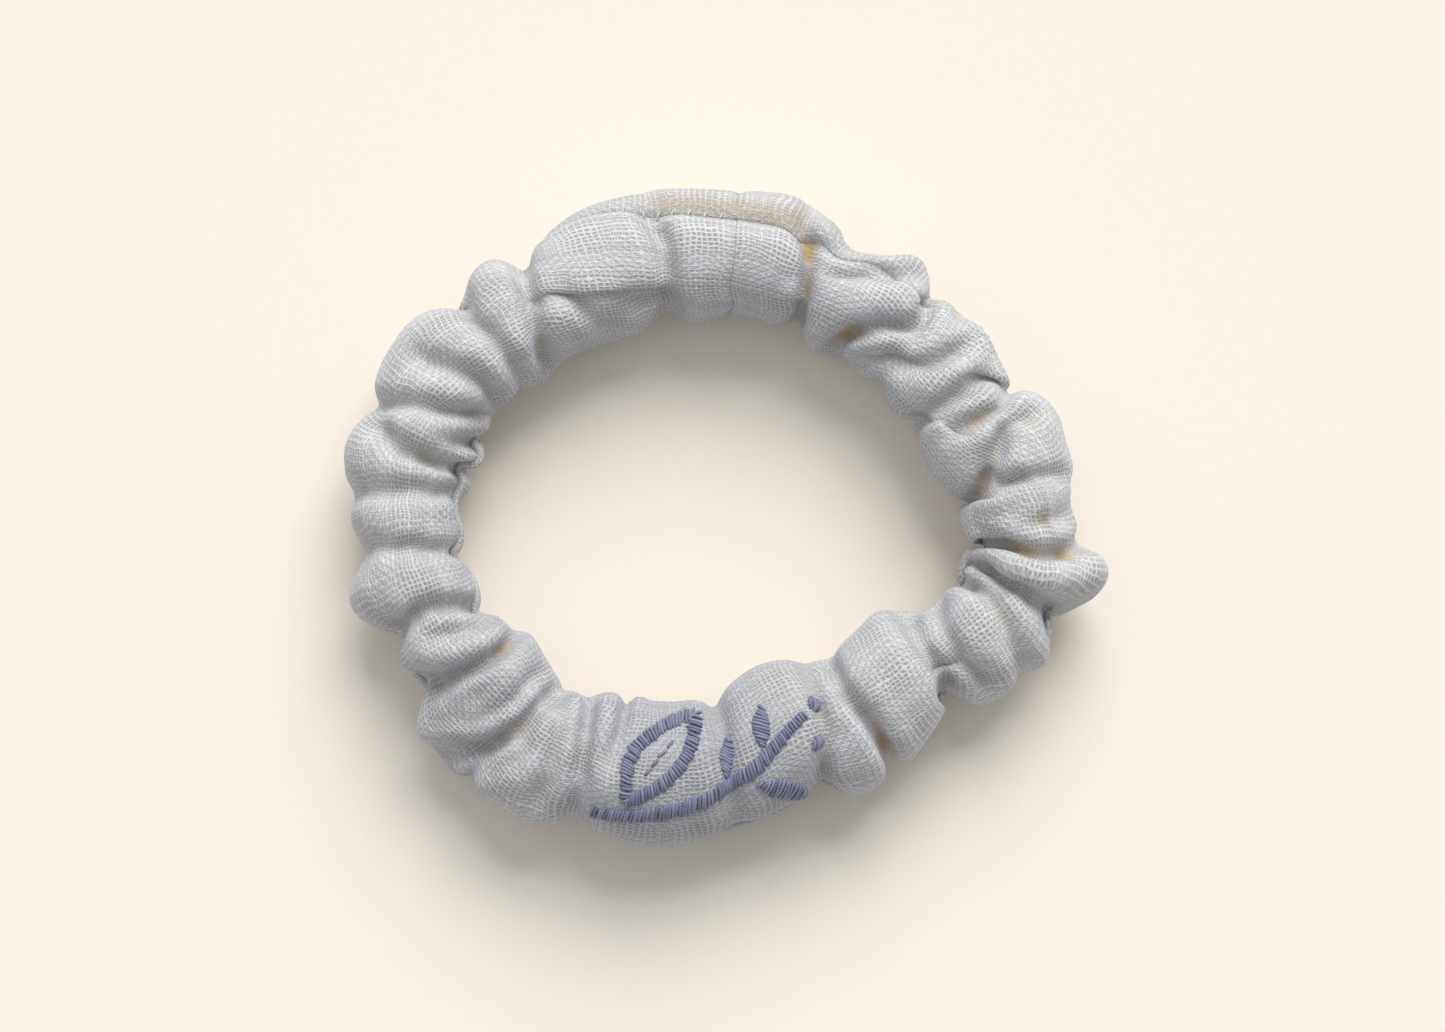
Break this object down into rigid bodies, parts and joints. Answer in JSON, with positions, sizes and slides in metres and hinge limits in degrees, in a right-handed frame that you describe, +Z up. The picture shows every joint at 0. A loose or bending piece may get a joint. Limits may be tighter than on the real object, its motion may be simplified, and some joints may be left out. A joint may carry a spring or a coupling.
{
  "type": "scrunchie",
  "caption": "Narrow fabric scrunchie: a gathered double-gauze tube on an elastic loop, with a small embroidered sprig, to hold hair in a bunch.",
  "frame": {"origin": "middle of the footprint, on the surface the scrunchie lies on", "axes": "+Z up through the loop, +X along the loop's longer side, which is also the way it is pulled open"},
  "size_m": [0.0844, 0.0727, 0.0145],
  "materials": {
    "face_gauze": "cream open plain-weave cotton gauze",
    "lining_gauze": "cream open plain-weave cotton gauze",
    "sewing_thread": "cream spun polyester thread",
    "elastic_braid": "white braided polyester",
    "rubber_strand": "natural rubber strand",
    "embroidery_thread": "lilac-grey rayon with a soft sheen",
    "bobbin_thread": "white spun bobbin thread",
    "backing": "white non-woven cut-away backing"
  },
  "bodies": {
    "held_half": {"cover_face_left": "face_gauze", "cover_lining_left": "lining_gauze", "long_seam_thread_left": "sewing_thread", "end_seam_thread": "sewing_thread", "closing_thread": "sewing_thread", "elastic_jacket_left": "elastic_braid", "elastic_cores_left": "rubber_strand", "elastic_join_thread": "sewing_thread", "embroidery_stem": "embroidery_thread", "embroidery_large_leaf": "embroidery_thread", "embroidery_leaf_vein": "embroidery_thread", "embroidery_small_leaf_1": "embroidery_thread", "embroidery_small_leaf_2": "embroidery_thread", "embroidery_small_leaf_3": "embroidery_thread", "embroidery_bud_1": "embroidery_thread", "embroidery_bud_2": "embroidery_thread", "embroidery_bobbin_thread": "bobbin_thread", "embroidery_backing": "backing"},
    "pulled_half": {"cover_face_right": "face_gauze", "cover_lining_right": "lining_gauze", "long_seam_thread_right": "sewing_thread", "elastic_jacket_right": "elastic_braid", "elastic_cores_right": "rubber_strand"}
  },
  "joints": [
    {"name": "stretch", "type": "slide", "parent": "held_half", "child": "pulled_half", "axis": [1, 0, 0], "range_m": [0, 0.06], "stiffness_N_per_m": 80}
  ]
}
